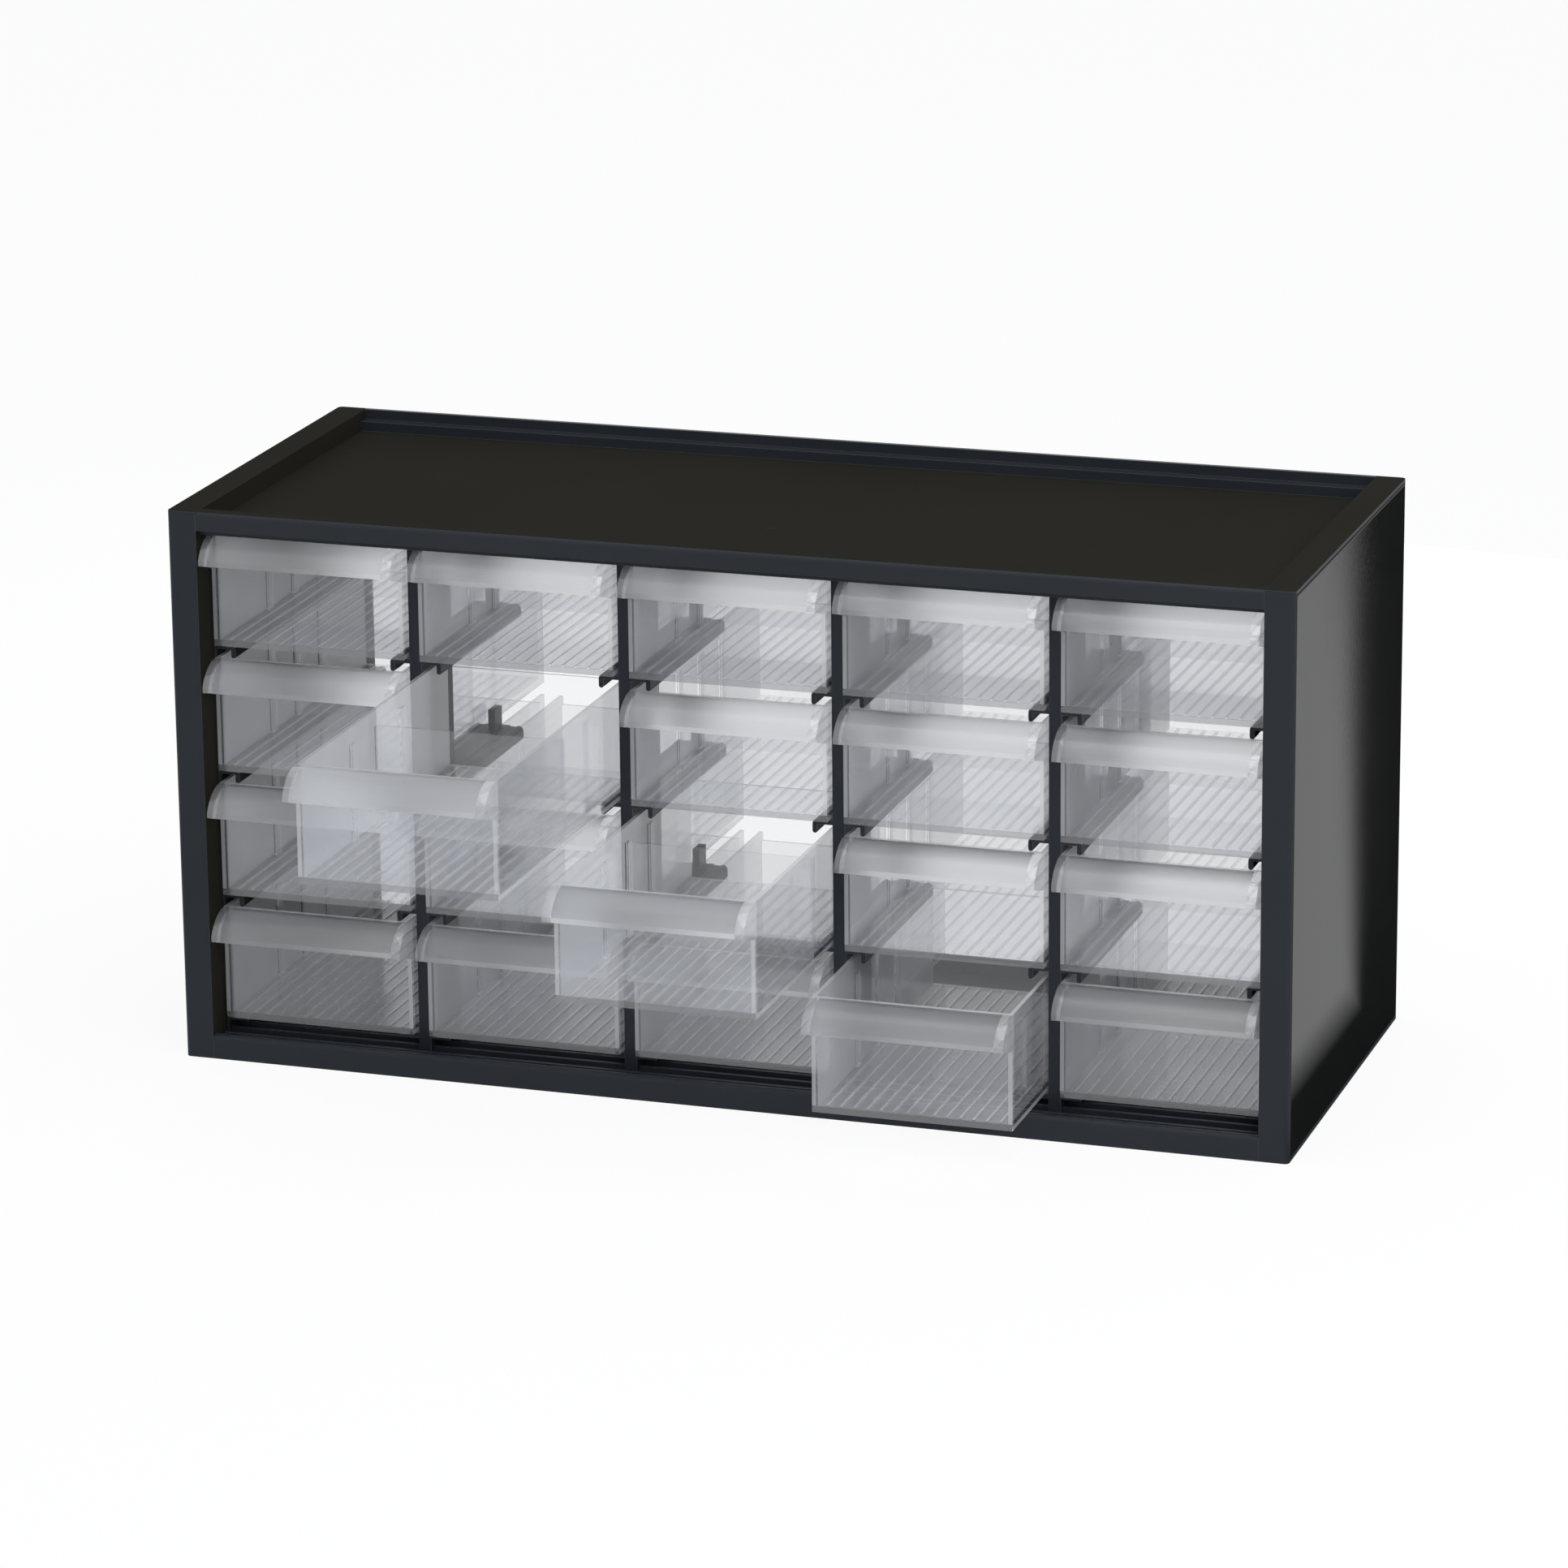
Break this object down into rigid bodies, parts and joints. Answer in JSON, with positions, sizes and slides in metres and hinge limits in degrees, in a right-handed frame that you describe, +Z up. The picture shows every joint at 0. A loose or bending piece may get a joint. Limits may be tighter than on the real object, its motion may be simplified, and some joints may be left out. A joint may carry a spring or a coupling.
{
  "type": "parts cabinet",
  "caption": "Tabletop small-parts cabinet: dark moulded case with a tray top and rows of clear sliding drawers, three drawn out",
  "frame": {"origin": "the middle of the cabinet's flat underside, where it stands on the table", "axes": "+X to the right seen from the front (longest extent), -Y towards the front where the drawers come out, +Z up"},
  "size_m": [0.445, 0.31, 0.221],
  "materials": {
    "case": "satin dark grey-black moulded plastic",
    "case_cover": "satin black moulded plastic",
    "clear": "clear, slightly grey moulded plastic",
    "divider": "clear, slightly hazy moulded plastic"
  },
  "bodies": {
    "cabinet": {"top_panel": "case", "base_panel": "case", "left_side": "case", "right_side": "case", "left_cover": "case_cover", "right_cover": "case_cover", "partition_1": "case", "partition_2": "case", "partition_3": "case", "partition_4": "case"},
    "bin_r1c1": {"drawer_r1c1": "clear", "divider_r1c1": "divider"},
    "bin_r1c2": {"drawer_r1c2": "clear", "divider_r1c2": "divider"},
    "bin_r1c3": {"drawer_r1c3": "clear", "divider_r1c3": "divider"},
    "bin_r1c4": {"drawer_r1c4": "clear", "divider_r1c4": "divider"},
    "bin_r1c5": {"drawer_r1c5": "clear", "divider_r1c5": "divider"},
    "bin_r2c1": {"drawer_r2c1": "clear", "divider_r2c1": "divider"},
    "bin_r2c2": {"drawer_r2c2": "clear", "divider_r2c2": "divider"},
    "bin_r2c3": {"drawer_r2c3": "clear", "divider_r2c3": "divider"},
    "bin_r2c4": {"drawer_r2c4": "clear", "divider_r2c4": "divider"},
    "bin_r2c5": {"drawer_r2c5": "clear", "divider_r2c5": "divider"},
    "bin_r3c1": {"drawer_r3c1": "clear", "divider_r3c1": "divider"},
    "bin_r3c2": {"drawer_r3c2": "clear", "divider_r3c2": "divider"},
    "bin_r3c3": {"drawer_r3c3": "clear", "divider_r3c3": "divider"},
    "bin_r3c4": {"drawer_r3c4": "clear", "divider_r3c4": "divider"},
    "bin_r3c5": {"drawer_r3c5": "clear", "divider_r3c5": "divider"},
    "bin_r4c1": {"drawer_r4c1": "clear", "divider_r4c1": "divider"},
    "bin_r4c2": {"drawer_r4c2": "clear", "divider_r4c2": "divider"},
    "bin_r4c3": {"drawer_r4c3": "clear", "divider_r4c3": "divider"},
    "bin_r4c4": {"drawer_r4c4": "clear", "divider_r4c4": "divider"},
    "bin_r4c5": {"drawer_r4c5": "clear", "divider_r4c5": "divider"}
  },
  "joints": [
    {"name": "slide_r1c1", "type": "slide", "parent": "cabinet", "child": "bin_r1c1", "axis": [0, -1, 0], "range_m": [0, 0.14]},
    {"name": "slide_r1c2", "type": "slide", "parent": "cabinet", "child": "bin_r1c2", "axis": [0, -1, 0], "range_m": [0, 0.14]},
    {"name": "slide_r1c3", "type": "slide", "parent": "cabinet", "child": "bin_r1c3", "axis": [0, -1, 0], "range_m": [0, 0.14]},
    {"name": "slide_r1c4", "type": "slide", "parent": "cabinet", "child": "bin_r1c4", "axis": [0, -1, 0], "range_m": [0, 0.14]},
    {"name": "slide_r1c5", "type": "slide", "parent": "cabinet", "child": "bin_r1c5", "axis": [0, -1, 0], "range_m": [0, 0.14]},
    {"name": "slide_r2c1", "type": "slide", "parent": "cabinet", "child": "bin_r2c1", "axis": [0, -1, 0], "range_m": [0, 0.14]},
    {"name": "slide_r2c2", "type": "slide", "parent": "cabinet", "child": "bin_r2c2", "axis": [0, -1, 0], "range_m": [-0.128, 0.012]},
    {"name": "slide_r2c3", "type": "slide", "parent": "cabinet", "child": "bin_r2c3", "axis": [0, -1, 0], "range_m": [0, 0.14]},
    {"name": "slide_r2c4", "type": "slide", "parent": "cabinet", "child": "bin_r2c4", "axis": [0, -1, 0], "range_m": [0, 0.14]},
    {"name": "slide_r2c5", "type": "slide", "parent": "cabinet", "child": "bin_r2c5", "axis": [0, -1, 0], "range_m": [0, 0.14]},
    {"name": "slide_r3c1", "type": "slide", "parent": "cabinet", "child": "bin_r3c1", "axis": [0, -1, 0], "range_m": [0, 0.14]},
    {"name": "slide_r3c2", "type": "slide", "parent": "cabinet", "child": "bin_r3c2", "axis": [0, -1, 0], "range_m": [0, 0.14]},
    {"name": "slide_r3c3", "type": "slide", "parent": "cabinet", "child": "bin_r3c3", "axis": [0, -1, 0], "range_m": [-0.088, 0.052]},
    {"name": "slide_r3c4", "type": "slide", "parent": "cabinet", "child": "bin_r3c4", "axis": [0, -1, 0], "range_m": [0, 0.14]},
    {"name": "slide_r3c5", "type": "slide", "parent": "cabinet", "child": "bin_r3c5", "axis": [0, -1, 0], "range_m": [0, 0.14]},
    {"name": "slide_r4c1", "type": "slide", "parent": "cabinet", "child": "bin_r4c1", "axis": [0, -1, 0], "range_m": [0, 0.14]},
    {"name": "slide_r4c2", "type": "slide", "parent": "cabinet", "child": "bin_r4c2", "axis": [0, -1, 0], "range_m": [0, 0.14]},
    {"name": "slide_r4c3", "type": "slide", "parent": "cabinet", "child": "bin_r4c3", "axis": [0, -1, 0], "range_m": [0, 0.14]},
    {"name": "slide_r4c4", "type": "slide", "parent": "cabinet", "child": "bin_r4c4", "axis": [0, -1, 0], "range_m": [-0.042, 0.098]},
    {"name": "slide_r4c5", "type": "slide", "parent": "cabinet", "child": "bin_r4c5", "axis": [0, -1, 0], "range_m": [0, 0.14]}
  ]
}
